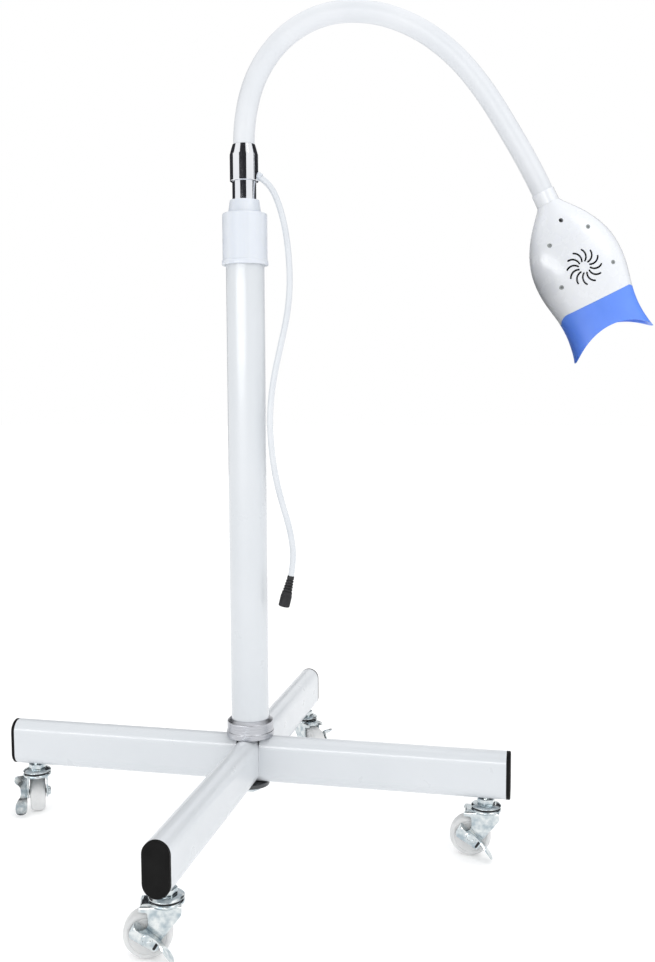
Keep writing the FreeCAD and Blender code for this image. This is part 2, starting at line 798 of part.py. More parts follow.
def make_fan():
    """A small square fan behind the vent."""
    middle = s.vent_along
    frame_box = box("fan_box", (-20, 20), (-18.6, -8.6), (middle - 20, middle + 20))
    throat = cylinder("fan_throat", 18.8, -20, -8, z=middle, along=(0, 1, 0))
    hub_plate = cylinder("fan_hub_plate", 8, -10.4, -8.6, z=middle, along=(0, 1, 0))
    spokes = [
        box("spoke_across", (-19.4, 19.4), (-10.4, -8.6), (middle - 1.5, middle + 1.5)),
        box("spoke_along", (-1.5, 1.5), (-10.4, -8.6), (middle - 19.4, middle + 19.4)),
    ]
    frame = fuse("fan_frame_body", cut("fan_ring", frame_box, throat), hub_plate, *spokes)
    pin_hole = cylinder("fan_pin_hole", 1, -12, -8, z=middle, along=(0, 1, 0))
    node("fan_frame", cut("fan_frame", frame, pin_hole), HEAD)

    hub = cylinder("rotor_hub", 7.5, -17.6, -10.8, z=middle, along=(0, 1, 0))
    pin = cylinder("rotor_pin", 1 - s.running, -11, -8.8, z=middle, along=(0, 1, 0))
    blades = []
    for step in range(7):
        blade = box(f"blade_{step}", (7, 17.8), (-0.5, 0.5), (-3.4, 3.4))
        swing = turn((0, 1, 0), 360 / 7 * step) * turn((1, 0, 0), 50)
        blade_place = shift(0, -14.2, s.vent_along.value) * swing
        blades.append(group(f"blade_set_{step}", blade))
        blades[-1].Placement = blade_place
    node("fan_rotor", fuse("fan_rotor", hub, pin, *blades), HEAD)


def make_panel():
    """The recessed control panel, its push buttons, and the screws that hold the two shells together."""
    panel = box("panel_body", (-15, 15), (20.95, 22), (64, 104))
    holes = [
        cylinder(name + "_hole", 4.3, 20, 23, z=along, along=(0, 1, 0)) for name, along in BUTTONS.items()
    ]
    node("control_panel", cut("control_panel", panel, *holes), HEAD)
    for name, along in BUTTONS.items():
        cap = cylinder(name + "_cap", 4, 17, 23, z=along, along=(0, 1, 0))
        flange = cylinder(name + "_flange", 5.4, 16.6, 17.9, z=along, along=(0, 1, 0))
        node(name, fuse(name, cap, flange), HEAD)

    screws = []
    for index, (along, side, depth) in enumerate(HEAD_SCREWS):
        head = cylinder(f"screw_head_{index}", 2.1, -depth, -depth + 1.6, x=side, z=along, along=(0, 1, 0))
        shank = cylinder(f"screw_shank_{index}", 1.2, -depth + 1, -depth + 12, x=side, z=along, along=(0, 1, 0))
        screws.append(fuse(f"screw_{index}", head, shank))
    node("head_screws", group("head_screws", *screws), HEAD)
    grip = turned(
        "neck_collar",
        (s.neck_radius + SEAT, 0),
        (s.neck_radius + 0.7, 0),
        (s.neck_radius + 1, 0.5),
        (s.neck_radius + 1, s.shell_start - 0.05),
        (7, s.shell_start - 0.05),
        (7, s.shell_start - 1.6),
        (s.neck_radius + SEAT, s.shell_start - 1.6),
    )
    node("neck_collar", grip, HEAD)


# ---------------------------------------------------------------- castors: +X trails, +Y to the brake


def castor_stem(name):
    """A threaded stem with its domed raceway, and the rivet that hangs the fork."""
    crown_top = s.tube_under - s.crown_drop
    return turned(
        name,
        (0, crown_top - 5.1),
        (6.5, crown_top - 5.1),
        (6.5, crown_top - 3.75),
        (4, crown_top - 3.7),
        (4, crown_top + 0.6),
        (s.crown_radius, crown_top + 0.6),
        (s.crown_radius, crown_top + 1.5),
        (s.crown_radius - 1.8, crown_top + 3.2),
        (8.6, crown_top + 6),
        (8, s.tube_under - SEAT),
        (s.bolt_radius, s.tube_under - SEAT),
        (s.bolt_radius, s.tube_under + 24),
        (0, s.tube_under + 24),
    )


def fork(name, place):
    """A pressed fork: a crown, two tapering legs, a short web in front, and the axle bolt through them."""
    crown_top = s.tube_under - s.crown_drop
    inside = s.wheel_half_width + s.wheel_play
    outside = inside + s.fork_sheet
    legs = plate(
        name + "_legs",
        outside * 2,
        (-13, crown_top - 0.6),
        (20, crown_top - 0.6),
        (22.6, crown_top - 3),
        (23, crown_top - 6),
        (15.4, crown_top - 7),
        (14.8, 32),
        (s.castor_trail + 6.2, s.wheel_radius + 2),
        (s.castor_trail + 3.5, s.wheel_radius - 6),
        (s.castor_trail - 5, s.wheel_radius - 6),
        (5, s.wheel_radius - 3),
        (-0.5, 24.5),
        (-13, 40),
    )
    crown = cylinder(name + "_crown", s.crown_radius, crown_top - 3.6, crown_top)
    channel = box(name + "_channel", (-11.2, 40), (-inside, inside), (0, crown_top - 3.6))
    stem_hole = cylinder(name + "_stem_hole", 4 + s.running, 40, 60)
    axle_at = {"x": s.castor_trail, "z": s.wheel_radius, "along": (0, 1, 0)}
    bolt_hole = cylinder(name + "_bolt_hole", s.axle_radius + 0.02, -20, 20, **axle_at)
    sheet_metal = cut(name + "_sheet", fuse(name + "_blank", legs, crown), channel, stem_hole, bolt_hole)
    shaft = cylinder(name + "_shaft", s.axle_radius, -outside - 3, outside + 4.6, **axle_at)
    head = cylinder(name + "_bolt_head", 5, -outside - 3.4, -outside - 0.02, **axle_at)
    nut = cylinder(name + "_nut", 5, outside + 1.9, outside + 5, **axle_at)
    bolt = fuse(name + "_bolt", shaft, head, nut)
    node(name, group(name, sheet_metal, bolt), place)


def wheel(name, place):
    """A moulded wheel with dished sides, turned about its axle."""
    bore = s.axle_radius + s.running
    half = s.wheel_half_width
    body = turned(
        name + "_body",
        (bore, -half - 0.25),
        (7, -half - 0.25),
        (8, -half + 2.2),
        (14, -half + 2.2),
        (15, -half),
        (s.wheel_radius - 2.2, -half),
        (s.wheel_radius, -half + 2.6),
        (s.wheel_radius, half - 2.6),
        (s.wheel_radius - 2.2, half),
        (15, half),
        (14, half - 2.2),
        (8, half - 2.2),
        (7, half + 0.25),
        (bore, half + 0.25),
    )
    upright = shift(s.castor_trail.value, 0, s.wheel_radius.value) * turn((1, 0, 0), -90)
    node(name, body, place * upright)


def brake(name, place, angle):
    """A pressed brake lever on the axle bolt: an upright side, a ledge folded out of its edge, and a pedal."""
    sheet = s.brake_sheet.value
    near = (s.wheel_half_width + s.wheel_play + s.fork_sheet + s.brake_play).value
    corners = ((-16, 3), (-13, 6.5), (10.5, 6.5), (12.5, 4.5), (12.4, -4), (-16.8, -8))
    side = plate(name + "_side", s.brake_sheet, *corners)
    side.Placement = shift(0, near + sheet / 2, 0)
    sheets = [side]
    # name: (start of the fold along and across the lever, its slope in degrees, length, width outwards)
    folds = {
        "ledge": ((-17.2, -8.3), -8.1, 29, 7),
        "ear": ((-17.2, -8.3), -8.1, 11.5, 14),
        "pedal": ((11.4, -4.2), -22.5, 17.6, 13),
    }
    for fold, ((along, across), slope, length, width) in folds.items():
        flat = box(f"{name}_{fold}_sheet", (0, length), (0, width), (-sheet / 2, sheet / 2))
        folded = group(f"{name}_{fold}", flat)
        folded.Placement = shift(along, near, across) * turn((0, 1, 0), slope)
        sheets.append(folded)
    bore = cylinder(name + "_bore", s.axle_radius + s.running, 0, 30, along=(0, 1, 0))
    swing = shift(s.castor_trail.value, 0, s.wheel_radius.value) * turn((0, -1, 0), angle)
    node(name, cut(name, fuse(name + "_blank", *sheets), bore), place * swing)


def make_castors():
    stems = []
    nuts = []
    for name, (along_x, along_y), trail, lever in CASTORS:
        x = s.castor_inset * along_x
        y = s.castor_inset * along_y
        stems.append(move_to(castor_stem(f"stem_{name}"), x, y, 0))
        nut_foot = s.tube_under + s.tube_wall + 4
        nuts.append(move_to(ring(f"nut_{name}", s.bolt_radius + SEAT, 8.5, nut_foot, nut_foot + 8.5), x, y, 0))
        place = shift(x.value, y.value, 0) * turn(UP, trail)
        fork(f"{name}_castor_fork", place)
        wheel(f"{name}_castor_wheel", place)
        brake(f"{name}_castor_brake", place, lever)
    node("castor_stems", group("castor_stems", *stems))
    node("castor_nuts", group("castor_nuts", *nuts))


# ---------------------------------------------------------------- build, check and write


def write_nodes():
    """Checks every object of the document, then writes one STEP file per node."""
    doc.recompute()
    for thing in doc.Objects:
        if {"Invalid", "Error"} & set(thing.State):
            raise ValueError(f"{thing.Name} did not build: {thing.State}")
    for thing in nodes:
        if thing.Shape.isNull() or not thing.Shape.isValid() or not thing.Shape.Solids:
            raise ValueError(f"{thing.Label} has no valid shape")
    os.makedirs("parts", exist_ok=True)
    for thing in nodes:
        thing.Shape.exportStep(os.path.join("parts", thing.Label + ".step"))
    print(len(nodes), "nodes written")


make_base()
make_lock()
make_pole()
make_socket()
make_neck()
make_cord()
shell_wall, guard_wall, head_solid = head_walls()
make_shells(shell_wall, head_solid)
make_guard(guard_wall)
make_light_engine()
make_fan()
make_panel()
make_castors()
write_nodes()
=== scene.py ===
import json
import math

import bmesh
import bpy
from mathutils import Matrix, Vector


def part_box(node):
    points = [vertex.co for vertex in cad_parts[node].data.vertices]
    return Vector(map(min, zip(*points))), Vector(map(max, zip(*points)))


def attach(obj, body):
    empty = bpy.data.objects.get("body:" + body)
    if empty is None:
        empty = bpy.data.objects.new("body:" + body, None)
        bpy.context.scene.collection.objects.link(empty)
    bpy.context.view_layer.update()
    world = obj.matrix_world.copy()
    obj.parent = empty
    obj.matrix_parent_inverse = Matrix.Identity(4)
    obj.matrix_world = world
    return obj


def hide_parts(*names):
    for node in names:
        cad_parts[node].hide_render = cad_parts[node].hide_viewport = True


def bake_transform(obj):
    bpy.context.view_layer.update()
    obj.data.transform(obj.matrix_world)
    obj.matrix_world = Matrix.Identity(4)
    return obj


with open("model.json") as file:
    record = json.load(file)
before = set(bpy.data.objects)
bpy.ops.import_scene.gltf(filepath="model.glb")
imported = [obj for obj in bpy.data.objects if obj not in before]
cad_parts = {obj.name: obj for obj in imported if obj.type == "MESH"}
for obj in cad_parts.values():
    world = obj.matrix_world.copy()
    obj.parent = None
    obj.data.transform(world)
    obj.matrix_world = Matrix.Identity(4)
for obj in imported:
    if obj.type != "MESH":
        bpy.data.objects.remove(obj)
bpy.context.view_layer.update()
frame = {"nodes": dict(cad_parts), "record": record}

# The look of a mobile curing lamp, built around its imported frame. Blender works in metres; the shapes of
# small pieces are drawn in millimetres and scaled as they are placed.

MM = 0.001
UP = Vector((0, 0, 1))
SCENE = bpy.context.scene
BEHAVIOUR = frame["record"]["behaviour"]
JOINTS = {joint["name"]: joint for joint in BEHAVIOUR["joints"]}
MOUNTS = {mount["name"]: mount for mount in frame["record"]["mounts"]}
NECK_JOINTS = [joint for name, joint in JOINTS.items() if name.startswith("neck_")]


# ---------------------------------------------------------------- places that follow from the frame


def frame_at(origin, z_axis, y_axis):
    """A placement in metres: origin, the direction of its Z axis, and one that its Y axis leans towards."""
    z = Vector(z_axis).normalized()
    x = Vector(y_axis).cross(z).normalized()
    y = z.cross(x)
    place = Matrix((x, y, z)).transposed().to_4x4()
    place.translation = Vector(origin)
    return place


def point_of(joint_name):
    return Vector(JOINTS[joint_name]["pos_m"])


MOUTH_FROM_NECK = 150 * MM
ARM_NORMAL = Vector(JOINTS["neck_bend_01"]["axis"])
ARM_FORWARD = ARM_NORMAL.cross(UP)
HEAD_AXIS = Vector(MOUNTS["light_mouth"]["axis"])
HEAD = frame_at(Vector(MOUNTS["light_mouth"]["pos_m"]) - HEAD_AXIS * MOUTH_FROM_NECK, HEAD_AXIS, ARM_NORMAL)
JACK_LENGTH = 33.6
JACK_AXIS = Vector(MOUNTS["dc_inlet"]["axis"])
JACK = frame_at(Vector(MOUNTS["dc_inlet"]["pos_m"]) - JACK_AXIS * JACK_LENGTH * MM, JACK_AXIS, ARM_NORMAL)
CASTORS = ("right", "front", "back", "left")
AXLE_HEIGHT = 21
AXLE_TRAIL = 16


def castor_place(name):
    """The castor's own frame: on the floor under its swivel, +X to the axle, +Y to the brake."""
    swivel = point_of(f"{name}_swivel")
    return frame_at((swivel.x, swivel.y, 0), UP, JOINTS[f"{name}_roll"]["axis"])


# ---------------------------------------------------------------- camera


CAMERA_PLACE = (0.3168, -1.0566, 0.4752)
CAMERA_ANGLES = (12.31, 4.78, -0.27)
CAMERA_SENSOR = 36
CAMERA_LENS = 39.13


def make_camera():
    """The camera: turned about the vertical, tipped down, and rolled, by angles in degrees."""
    yaw, pitch, roll = (math.radians(angle) for angle in CAMERA_ANGLES)
    data = bpy.data.cameras.new("camera")
    data.sensor_width = CAMERA_SENSOR
    data.lens = CAMERA_LENS
    camera = bpy.data.objects.new("camera", data)
    turns = (
        Matrix.Rotation(yaw, 4, "Z")
        @ Matrix.Rotation(math.pi / 2 - pitch, 4, "X")
        @ Matrix.Rotation(roll, 4, "Z")
    )
    camera.matrix_world = Matrix.Translation(CAMERA_PLACE) @ turns
    SCENE.collection.objects.link(camera)
    SCENE.camera = camera


make_camera()


# ---------------------------------------------------------------- materials


class Finish:
    """A procedural material for one of the record's slots. Textures use the object's own coordinates."""

    def __init__(self, slot, roughness, metallic=0.0, **constants):
        self.material = bpy.data.materials.new(slot)
        self.material.use_nodes = True
        self.tree = self.material.node_tree
        self.shader = self.tree.nodes["Principled BSDF"]
        self.coordinates = self.add("TexCoord").outputs["Object"]
        self.height = None
        self.set("Metallic", metallic)
        self.set("Roughness", roughness)
        for socket, value in constants.items():
            self.set(socket.replace("_", " "), value)

    def add(self, kind):
        return self.tree.nodes.new("ShaderNode" + kind)

    def set(self, socket, value):
        if isinstance(value, bpy.types.NodeSocket):
            self.tree.links.new(value, self.shader.inputs[socket])
        elif hasattr(value, "__len__") and len(value) == 3 and "Radius" not in socket:
            self.shader.inputs[socket].default_value = (*value, 1)
        else:
            self.shader.inputs[socket].default_value = value

    def texture(self, kind, scale, stretch=(1, 1, 1)):
        mapping = self.add("Mapping")
        mapping.inputs["Scale"].default_value = stretch
        texture = self.add(kind)
        texture.inputs["Scale"].default_value = scale
        self.tree.links.new(self.coordinates, mapping.inputs["Vector"])
        self.tree.links.new(mapping.outputs["Vector"], texture.inputs["Vector"])
        return texture

    def noise(self, scale, detail, stretch=(1, 1, 1)):
        texture = self.texture("TexNoise", scale, stretch)
        texture.inputs["Detail"].default_value = detail
        return texture.outputs["Fac"]

    def cells(self, scale):
        return self.texture("TexVoronoi", scale).outputs["Distance"]

    def scaled(self, factor, low, high, start=0.3, end=0.7):
        """The texture's value stretched from start..end to low..high."""
        reach = self.add("MapRange")
        for socket, value in (("From Min", start), ("From Max", end), ("To Min", low), ("To Max", high)):
            reach.inputs[socket].default_value = value
        self.tree.links.new(factor, reach.inputs["Value"])
        return reach.outputs["Result"]

    def colour(self, factor, low, high, start=0.3, end=0.7):
        """The base colour, from low where the texture is at start to high where it is at end."""
        ramp = self.add("ValToRGB")
        for element, place, value in zip(ramp.color_ramp.elements, (start, end), (low, high)):
            element.position = place
            element.color = (*value, 1)
        self.tree.links.new(factor, ramp.inputs["Fac"])
        self.set("Base Color", ramp.outputs["Color"])

    def bump(self, factor, depth, strength):
        """Fine relief, depth in metres, on top of any relief that the material has already."""
        bump = self.add("Bump")
        bump.inputs["Distance"].default_value = depth
        bump.inputs["Strength"].default_value = strength
        self.tree.links.new(factor, bump.inputs["Height"])
        if self.height:
            self.tree.links.new(self.height, bump.inputs["Normal"])
        self.height = bump.outputs["Normal"]
        self.set("Normal", self.height)


def white_paint():
    """Gloss powder coat: faint orange peel, and a gloss that varies a little from place to place."""
    finish = Finish("white_paint", 0.3, Coat_Weight=0.3, Coat_Roughness=0.1)
    finish.colour(finish.noise(9, 5), (0.61, 0.64, 0.67), (0.65, 0.675, 0.705))
    finish.set("Roughness", finish.scaled(finish.noise(38, 6), 0.26, 0.4))
    finish.bump(finish.noise(420, 2), 0.00006, 0.35)
    return finish


def black_plastic():
    finish = Finish("black_plastic", 0.5, Specular_IOR_Level=0.08)
    finish.colour(finish.noise(60, 5), (0.004, 0.004, 0.004), (0.008, 0.008, 0.008))
    finish.set("Roughness", finish.scaled(finish.noise(150, 4), 0.42, 0.62))
    finish.bump(finish.noise(2600, 2), 0.0001, 0.4)
    return finish


def dark_steel():
    finish = Finish("dark_steel", 0.45, Coat_Weight=0.2)
    finish.colour(finish.noise(45, 5), (0.035, 0.037, 0.04), (0.06, 0.063, 0.068))
    finish.bump(finish.noise(900, 3), 0.00008, 0.4)
    return finish


def zinc_steel():
    """Bright zinc plate: a cloudy film over fine press marks."""
    finish = Finish("zinc_steel", 0.2, metallic=1.0)
    finish.colour(finish.noise(160, 4), (0.38, 0.45, 0.49), (0.72, 0.75, 0.75), 0.32, 0.66)
    finish.set("Roughness", finish.scaled(finish.noise(200, 4), 0.1, 0.24))
    finish.bump(finish.noise(420, 2, (1, 1, 0.3)), 0.00008, 0.25)
    return finish


def dull_steel():
    """The grey, matt plate of small screws."""
    finish = Finish("dull_steel", 0.55, metallic=1.0)
    finish.colour(finish.noise(700, 4), (0.27, 0.29, 0.29), (0.37, 0.39, 0.39))
    finish.set("Roughness", finish.scaled(finish.noise(900, 3), 0.45, 0.65))
    finish.bump(finish.noise(2400, 2), 0.00005, 0.3)
    return finish


def spun_aluminium():
    """Turned aluminium: the tool's fine rings run round the column."""
    finish = Finish("spun_aluminium", 0.3, metallic=1.0, Anisotropic=0.5)
    rings = finish.noise(2.5, 4, (20, 20, 1400))
    finish.colour(rings, (0.38, 0.39, 0.42), (0.54, 0.55, 0.58))
    finish.set("Roughness", finish.scaled(finish.noise(3, 3, (10, 10, 900)), 0.22, 0.38))
    finish.bump(rings, 0.00008, 0.5)
    return finish


def white_plastic():
    """Moulded sleeve plastic: bluish white, a little translucent, with faint upright bands of painted
    reflection and shade.
    """
    finish = Finish(
        "white_plastic",
        0.34,
        Subsurface_Weight=0.15,
        Subsurface_Radius=(0.004, 0.004, 0.005),
        Subsurface_Scale=0.5,
    )
    # Noise stretched along the height gives upright streaks: painted reflection and shade bands, like those
    # studio lights lay on a round sleeve.
    finish.colour(finish.noise(75, 2, (1, 1, 0.02)), (0.60, 0.645, 0.71), (0.70, 0.73, 0.78))
    finish.set("Roughness", finish.scaled(finish.noise(90, 4), 0.28, 0.42))
    finish.bump(finish.noise(1500, 2), 0.00004, 0.3)
    return finish


def polished_chrome():
    """Polished chrome plate with faint lengthwise polishing lines and a breath of haze."""
    finish = Finish("polished_chrome", 0.06, metallic=1.0)
    finish.colour(finish.noise(25, 4), (0.80, 0.82, 0.86), (0.87, 0.88, 0.91))
    finish.set("Roughness", finish.scaled(finish.noise(30, 5), 0.03, 0.1))
    finish.bump(finish.noise(900, 2, (1, 1, 0.02)), 0.00001, 0.25)
    return finish


def neck_cover():
    """The neck's smooth white sleeve: soft, satin, and very slightly uneven."""
    finish = Finish("neck_cover", 0.42, Coat_Weight=0.15, Coat_Roughness=0.3, Sheen_Weight=0.05)
    finish.colour(finish.noise(18, 4), (0.655, 0.68, 0.715), (0.70, 0.72, 0.75))
    finish.set("Roughness", finish.scaled(finish.noise(110, 5), 0.36, 0.5))
    finish.bump(finish.noise(240, 3), 0.0001, 0.25)
    return finish


def head_plastic():
    """The head's glossy white casing."""
    finish = Finish(
        "head_plastic",
        0.24,
        Coat_Weight=0.25,
        Subsurface_Weight=0.1,
        Subsurface_Radius=(0.003, 0.003, 0.004),
        Subsurface_Scale=0.5,
    )
    finish.colour(finish.noise(22, 4), (0.735, 0.76, 0.80), (0.775, 0.795, 0.83))
    finish.set("Roughness", finish.scaled(finish.noise(80, 5), 0.2, 0.32))
    finish.bump(finish.noise(1800, 2), 0.00003, 0.3)
    return finish


def blue_plastic():
    """The light guard's translucent-looking blue."""
    finish = Finish(
        "blue_plastic",
        0.36,
        Subsurface_Weight=0.25,
        Subsurface_Radius=(0.002, 0.003, 0.008),
        Subsurface_Scale=0.6,
    )
    finish.colour(finish.noise(30, 4), (0.105, 0.25, 0.84), (0.125, 0.28, 0.9))
    finish.set("Roughness", finish.scaled(finish.noise(120, 5), 0.3, 0.45))
    finish.bump(finish.noise(2200, 2), 0.00005, 0.35)
    return finish


def clear_window():
    finish = Finish("clear_window", 0.06, Transmission_Weight=0.9, IOR=1.5)
    finish.colour(finish.noise(60, 3), (0.93, 0.96, 1.0), (0.97, 0.99, 1.0))
    finish.set("Roughness", finish.scaled(finish.noise(200, 4), 0.03, 0.1))
    return finish


def nylon_wheel():
    """Milky nylon: light seeps in, and fine scuffs make the gloss uneven."""
    finish = Finish(
        "nylon_wheel",
        0.42,
        Subsurface_Weight=0.6,
        Subsurface_Radius=(0.006, 0.006, 0.006),
        Subsurface_Scale=0.8,
    )
    finish.colour(finish.noise(70, 5), (0.60, 0.61, 0.615), (0.70, 0.705, 0.705))
    finish.set("Roughness", finish.scaled(finish.noise(240, 5), 0.34, 0.55))
    finish.bump(finish.noise(700, 4), 0.00008, 0.3)
    return finish


def cord_jacket():
    finish = Finish("cord_jacket", 0.42)
    finish.colour(finish.noise(40, 4), (0.62, 0.65, 0.69), (0.68, 0.705, 0.735))
    finish.set("Roughness", finish.scaled(finish.noise(170, 4), 0.36, 0.5))
    finish.bump(finish.noise(900, 3), 0.00005, 0.3)
    return finish


def black_rubber():
    finish = Finish("black_rubber", 0.5, Specular_IOR_Level=0.2)
    finish.colour(finish.noise(140, 4), (0.014, 0.014, 0.016), (0.03, 0.03, 0.033))
    finish.set("Roughness", finish.scaled(finish.noise(400, 4), 0.42, 0.6))
    finish.bump(finish.noise(3000, 2), 0.00008, 0.4)
    return finish


def circuit_board():
    """Green solder mask, mottled as if copper lay under it."""
    finish = Finish("circuit_board", 0.35, Coat_Weight=0.4)
    tracks = finish.cells(420)
    finish.colour(tracks, (0.012, 0.10, 0.05), (0.02, 0.19, 0.09), 0.2, 0.5)
    finish.bump(tracks, 0.00005, 0.5)
    return finish


def led_face():
    finish = Finish("led_face", 0.12, Transmission_Weight=0.35, IOR=1.45)
    finish.colour(finish.noise(500, 3), (0.55, 0.68, 0.95), (0.8, 0.88, 1.0))
    finish.set("Roughness", finish.scaled(finish.noise(300, 3), 0.08, 0.2))
    return finish


def panel_film():
    """A matt printed film, slightly grainy."""
    finish = Finish("panel_film", 0.5)
    finish.colour(finish.noise(60, 5), (0.56, 0.61, 0.70), (0.61, 0.66, 0.75))
    finish.bump(finish.noise(2500, 2), 0.00006, 0.5)
    return finish


FINISHES = (
    white_paint,
    black_plastic,
    dark_steel,
    zinc_steel,
    dull_steel,
    spun_aluminium,
    white_plastic,
    polished_chrome,
    neck_cover,
    head_plastic,
    blue_plastic,
    clear_window,
    nylon_wheel,
    cord_jacket,
    black_rubber,
    circuit_board,
    led_face,
    panel_film,
)
MATERIALS = {make.__name__: make().material for make in FINISHES}


def dress_frame():
    """Every CAD node that stays gets its slot's material."""
    for part in frame["record"]["subparts"]:
        thing = frame["nodes"][part["node"]]
        if not thing.material_slots:
            thing.data.materials.append(None)
        for place in thing.material_slots:
            place.material = MATERIALS[part["material_slot"]]


dress_frame()


# ---------------------------------------------------------------- the power cord

# The route of the cord, repeated from the CAD model, in metres: distance from the column's axis in the neck's
# plane, distance forward of that plane, height.
CORD_ROUTE = (
    (0.0094, 0.0000, 0.7016),
    (0.0200, 0.0006, 0.6955),
    (0.0292, 0.0024, 0.6850),
    (0.0360, 0.0050, 0.6685),
    (0.0413, 0.0082, 0.6485),
    (0.0448, 0.0112, 0.6255),
    (0.0466, 0.0138, 0.6005),
    (0.0462, 0.0160, 0.5750),
    (0.0426, 0.0174, 0.5495),
    (0.0364, 0.0182, 0.5230),
    (0.0302, 0.0184, 0.4960),
    (0.0260, 0.0182, 0.4685),
    (0.0248, 0.0178, 0.4415),
    (0.0266, 0.0170, 0.4140),
    (0.0304, 0.0158, 0.3875),
    (0.0362, 0.0144, 0.3630),
    (0.0430, 0.0128, 0.3400),
    (0.0474, 0.0114, 0.3175),
    (0.0478, 0.0102, 0.2990),
    (0.0454, 0.0094, 0.2840),
)
CORD_DIAMETER = 0.0063


def make_cord():
    points = [ARM_FORWARD * side - ARM_NORMAL * front + UP * height for side, front, height in CORD_ROUTE]
    curve = bpy.data.curves.new("power_cord_jacket", "CURVE")
    curve.dimensions = "3D"
    curve.resolution_u = 12
    curve.bevel_depth = CORD_DIAMETER / 2
    curve.bevel_resolution = 8
    line = curve.splines.new("NURBS")
    line.points.add(len(points) - 1)
    for place, point in zip(line.points, points):
        place.co = (*point, 1)
    line.order_u = 3
    line.use_endpoint_u = True
    curve.materials.append(MATERIALS["cord_jacket"])
    cord = bpy.data.objects.new("power_cord_jacket", curve)
    SCENE.collection.objects.link(cord)
    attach(cord, "arm")
    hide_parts("power_cord")
    return cord, points[0]


# ---------------------------------------------------------------- mesh helpers, in millimetres


def rounded(corners, radius, closed=False, steps=3):
    """The corners of an outline, each replaced by a short curve that starts radius before it."""
    points = []
    count = len(corners)
    for index, corner in enumerate(corners):
        here = Vector(corner)
        if not closed and index in (0, count - 1):
            points.append(here)
            continue
        before = Vector(corners[index - 1]) - here
        after = Vector(corners[(index + 1) % count]) - here
        reach = min(radius, before.length * 0.45, after.length * 0.45)
        start = here + before.normalized() * reach
        end = here + after.normalized() * reach
        for step in range(steps + 1):
            t = step / steps
            points.append(start * (1 - t) ** 2 + here * 2 * t * (1 - t) + end * t**2)
    return points


def lathe(bm, profile, place=Matrix(), segments=72, closed=False):
    """Turns a profile of (radius, height) about Z."""
    rings = []
    for step in range(segments):
        angle = 2 * math.pi * step / segments
        rings.append(
            [bm.verts.new(place @ Vector((r * math.cos(angle), r * math.sin(angle), h))) for r, h in profile]
        )
    spans = len(profile) if closed else len(profile) - 1
    for ring, following in zip(rings, rings[1:] + rings[:1]):
        for row in range(spans):
            other = (row + 1) % len(profile)
            bm.faces.new((ring[row], following[row], following[other], ring[other]))
    bmesh.ops.remove_doubles(bm, verts=[vert for ring in rings for vert in ring], dist=0.0005)


def stamp(bm, outlines, thickness, place=Matrix(), edge=0.2):
    """A plate centred on the XY plane: the first outline, the others as holes in it, and rounded edges."""
    curve = bpy.data.curves.new("stamp", "CURVE")
    curve.dimensions = "2D"
    curve.fill_mode = "BOTH"
    curve.extrude = thickness / 2 - edge
    curve.bevel_depth = edge
    curve.bevel_resolution = 2
    curve.offset = -edge
    for outline in outlines:
        line = curve.splines.new("POLY")
        line.points.add(len(outline) - 1)
        for point, corner in zip(line.points, outline):
            point.co = (corner[0], corner[1], 0, 1)
        line.use_cyclic_u = True
    holder = bpy.data.objects.new("stamp", curve)
    mesh = bpy.data.meshes.new_from_object(holder)
    mesh.transform(place)
    bm.from_mesh(mesh)
    bpy.data.meshes.remove(mesh)
    bpy.data.objects.remove(holder)
    bpy.data.curves.remove(curve)


def slot_outline(x, y, length, width):
    """A bar with round ends, centred on (x, y) and lying along X, or along Y where it is wider than long."""
    corners = ((-length, -width), (length, -width), (length, width), (-length, width))
    return rounded([(x + a / 2, y + b / 2) for a, b in corners], width / 2, closed=True)


def circle(radius, steps=36, x=0.0, y=0.0):
    """A regular outline round (x, y)."""
    turns = [2 * math.pi * step / steps for step in range(steps)]
    return [(x + radius * math.cos(turn), y + radius * math.sin(turn)) for turn in turns]


def add_piece(name, bm, slot, body, place=Matrix(), replaces=(), sharp=32):
    """Makes a piece from a bmesh drawn in millimetres, sets it in place and lets it ride on a body."""
    bm.transform(place @ Matrix.Scale(MM, 4))
    bmesh.ops.remove_doubles(bm, verts=bm.verts, dist=1e-6)
    bmesh.ops.recalc_face_normals(bm, faces=bm.faces)
    mesh = bpy.data.meshes.new(name)
    bm.to_mesh(mesh)
    bm.free()
    mesh.shade_smooth()
    mesh.set_sharp_from_angle(angle=math.radians(sharp))
    mesh.materials.append(MATERIALS[slot])
    piece = bpy.data.objects.new(name, mesh)
    SCENE.collection.objects.link(piece)
    if body:
        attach(piece, body)
    if replaces:
        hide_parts(*replaces)
    return piece


def turned_piece(name, profile, slot, body, place=Matrix(), replaces=(), rounding=0.5, closed=True):
    """A piece turned about Z from a profile of (radius, height)."""
    bm = bmesh.new()
    lathe(bm, rounded(profile, rounding, closed), closed=closed, segments=96)
    return add_piece(name, bm, slot, body, place, replaces)


# ---------------------------------------------------------------- the cord's ends


RIB_COUNT = 5
RIB_START = 2.2
RIB_PITCH = 3.0
RIB_RADIUS = 3.75
RIB_GROWTH = 0.28
RIB_DEPTH = 0.75


def make_cord_ends(cord, exit_point):
    """The connector: a ribbed strain relief that widens into a barrel. The CAD model's contact lies in it."""
    ribs = []
    for step in range(RIB_COUNT):
        start = RIB_START + RIB_PITCH * step
        radius = RIB_RADIUS + RIB_GROWTH * step
        groove = radius - RIB_DEPTH
        ribs += [(radius, start), (radius, start + 1.9), (groove, start + 2.1), (groove, start + 2.8)]
    barrel = [(5.3, 17.4), (5.6, 21), (6.0, 22), (6.0, 33.0), (5.6, JACK_LENGTH)]
    mouth = [(4.35, JACK_LENGTH), (4.35, 22), (0, 22)]
    profile = [(3.2, 0), (3.55, 0.4), *ribs, *barrel, *mouth]
    housing = turned_piece(
        "connector_housing",
        profile,
        "black_rubber",
        "arm",
        JACK,
        ["dc_jack_housing"],
        rounding=0.3,
        closed=False,
    )


make_cord_ends(*make_cord())


